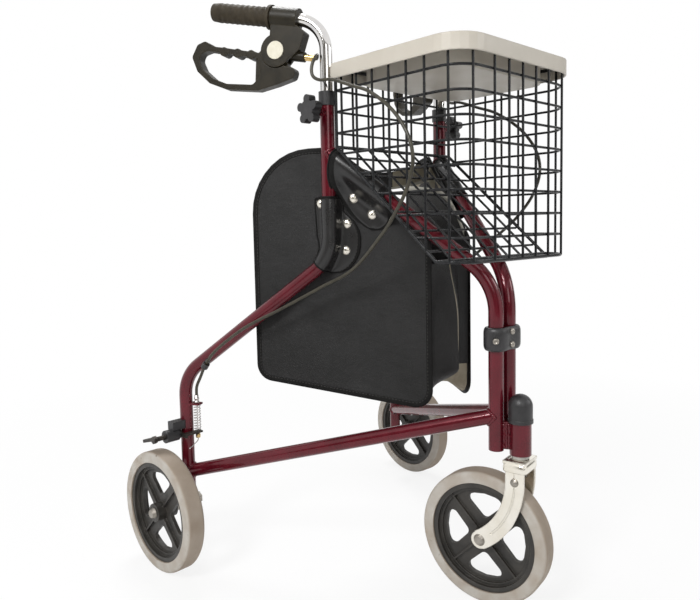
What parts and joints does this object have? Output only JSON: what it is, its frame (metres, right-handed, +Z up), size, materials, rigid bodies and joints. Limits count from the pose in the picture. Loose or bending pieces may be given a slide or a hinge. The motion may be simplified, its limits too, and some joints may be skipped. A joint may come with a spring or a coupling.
{
  "type": "three wheel rollator",
  "caption": "Folding walker on a swivel caster and rear wheels, with sliding handles, loop brakes, wire basket with tray, and a bag between its frames",
  "frame": {"origin": "on the floor under the middle of the bounding box", "axes": "+Z up, the front caster towards -Y, the user's right side towards -X"},
  "size_m": [0.6712, 0.635, 0.9236],
  "materials": {
    "frame_paint": "deep red metallic enamel",
    "chrome": "bright chrome plate",
    "black_plastic": "moulded black plastic, fine grain",
    "grip_rubber": "dark soft rubber",
    "pale_cap": "plain pale disc",
    "brass": "turned brass",
    "cable_sheath": "smooth black sheath",
    "dark_steel": "blackened steel",
    "spring_steel": "bright zinc plated wire",
    "tyre": "grey non-marking rubber",
    "hub_plastic": "moulded dark plastic",
    "axle_steel": "dull plated steel",
    "bush": "plain bearing plastic",
    "basket_wire": "black coated wire",
    "tray_plastic": "warm pale grey, satin",
    "vinyl": "black grained vinyl"
  },
  "bodies": {
    "right_frame": {"right_main_tube": "frame_paint", "right_brace_tube": "frame_paint", "right_bottom_tube": "frame_paint", "right_column_bush": "black_plastic", "right_cable_clip": "black_plastic", "right_brake_block": "black_plastic", "right_axle": "axle_steel", "right_brake_cable": "cable_sheath", "right_brake_spring": "spring_steel", "right_bag_panel": "vinyl", "head_tube": "frame_paint", "head_cap": "black_plastic", "stem_bushes": "bush", "bag_gusset": "vinyl"},
    "left_frame": {"left_main_tube": "frame_paint", "left_brace_tube": "frame_paint", "left_bottom_tube": "frame_paint", "left_column_bush": "black_plastic", "left_cable_clip": "black_plastic", "left_brake_block": "black_plastic", "left_axle": "axle_steel", "left_brake_cable": "cable_sheath", "left_brake_spring": "spring_steel", "left_bag_panel": "vinyl", "hinge_clamp": "black_plastic"},
    "caster": {"caster_fork": "chrome", "caster_axle": "axle_steel"},
    "caster_wheel": {"caster_tyre": "tyre", "caster_hub": "hub_plastic"},
    "right_wheel": {"right_tyre": "tyre", "right_hub": "hub_plastic"},
    "right_handle": {"right_handle_tube": "chrome", "right_grip": "grip_rubber", "right_brake_housing": "black_plastic", "right_lever_pin": "pale_cap", "right_barrel_adjuster": "brass"},
    "right_lever": {"right_brake_lever": "black_plastic"},
    "right_arm": {"right_brake_arm": "dark_steel"},
    "right_knob": {"right_height_knob": "black_plastic"},
    "left_wheel": {"left_tyre": "tyre", "left_hub": "hub_plastic"},
    "left_handle": {"left_handle_tube": "chrome", "left_grip": "grip_rubber", "left_brake_housing": "black_plastic", "left_lever_pin": "pale_cap", "left_barrel_adjuster": "brass"},
    "left_lever": {"left_brake_lever": "black_plastic"},
    "left_arm": {"left_brake_arm": "dark_steel"},
    "left_knob": {"left_height_knob": "black_plastic"},
    "basket": {"basket_right_side": "basket_wire", "basket_left_side": "basket_wire", "basket_front": "basket_wire", "basket_right_corner": "basket_wire", "basket_left_corner": "basket_wire", "basket_back": "basket_wire", "basket_slope": "basket_wire", "basket_floor": "basket_wire"},
    "tray": {"tray": "tray_plastic"}
  },
  "joints": [
    {"name": "fold", "type": "hinge", "parent": "right_frame", "child": "left_frame", "pos_m": [-0.0155, -0.24001, 0.409], "axis": [0, 0, 1], "range_deg": [0, 46], "deforming": ["bag_gusset"]},
    {"name": "caster_swivel", "type": "hinge", "parent": "right_frame", "child": "caster", "pos_m": [0, -0.27101, 0.235], "axis": [0, 0, 1], "continuous": true},
    {"name": "caster_roll", "type": "hinge", "parent": "caster", "child": "caster_wheel", "pos_m": [-0.00955, -0.21684, 0.1], "axis": [0.9848, 0.1736, 0], "continuous": true},
    {"name": "right_wheel_roll", "type": "hinge", "parent": "right_frame", "child": "right_wheel", "pos_m": [-0.31102, 0.21734, 0.1], "axis": [0.9986, 0.0523, 0], "continuous": true},
    {"name": "right_height", "type": "slide", "parent": "right_frame", "child": "right_handle", "axis": [0, 0, 1], "range_m": [0, 0.125], "deforming": ["right_brake_cable"]},
    {"name": "right_squeeze", "type": "hinge", "parent": "right_handle", "child": "right_lever", "pos_m": [-0.17055, 0.05159, 0.83827], "axis": [0.8829, 0.4695, 0], "range_deg": [0, 12]},
    {"name": "right_brake", "type": "hinge", "parent": "right_frame", "child": "right_arm", "pos_m": [-0.2601, 0.22001, 0.222], "axis": [-0.9986, -0.0523, 0], "range_deg": [0, 15], "deforming": ["right_brake_spring"]},
    {"name": "right_knob_turn", "type": "hinge", "parent": "right_frame", "child": "right_knob", "pos_m": [-0.13381, -0.0175, 0.741], "axis": [-1, 0, 0], "range_deg": [0, 360]},
    {"name": "left_wheel_roll", "type": "hinge", "parent": "left_frame", "child": "left_wheel", "pos_m": [0.31102, 0.21734, 0.1], "axis": [0.9986, -0.0523, 0], "continuous": true},
    {"name": "left_height", "type": "slide", "parent": "left_frame", "child": "left_handle", "axis": [0, 0, 1], "range_m": [0, 0.125], "deforming": ["left_brake_cable"]},
    {"name": "left_squeeze", "type": "hinge", "parent": "left_handle", "child": "left_lever", "pos_m": [0.17055, 0.05159, 0.83827], "axis": [0.8829, -0.4695, 0], "range_deg": [0, 12]},
    {"name": "left_brake", "type": "hinge", "parent": "left_frame", "child": "left_arm", "pos_m": [0.2601, 0.22001, 0.222], "axis": [-0.9986, 0.0523, 0], "range_deg": [0, 15], "deforming": ["left_brake_spring"]},
    {"name": "left_knob_turn", "type": "hinge", "parent": "left_frame", "child": "left_knob", "pos_m": [0.13381, -0.0175, 0.741], "axis": [1, 0, 0], "range_deg": [0, 360]},
    {"name": "basket_lift", "type": "slide", "parent": "right_frame", "child": "basket", "axis": [0, 0, 1], "range_m": [0, 0.08]},
    {"name": "tray_lift", "type": "slide", "parent": "basket", "child": "tray", "axis": [0, 0, 1], "range_m": [0, 0.12]}
  ],
  "couplings": [
    {"joint": "right_brake", "follows": "right_squeeze", "ratio": 1.25},
    {"joint": "left_brake", "follows": "left_squeeze", "ratio": 1.25}
  ]
}
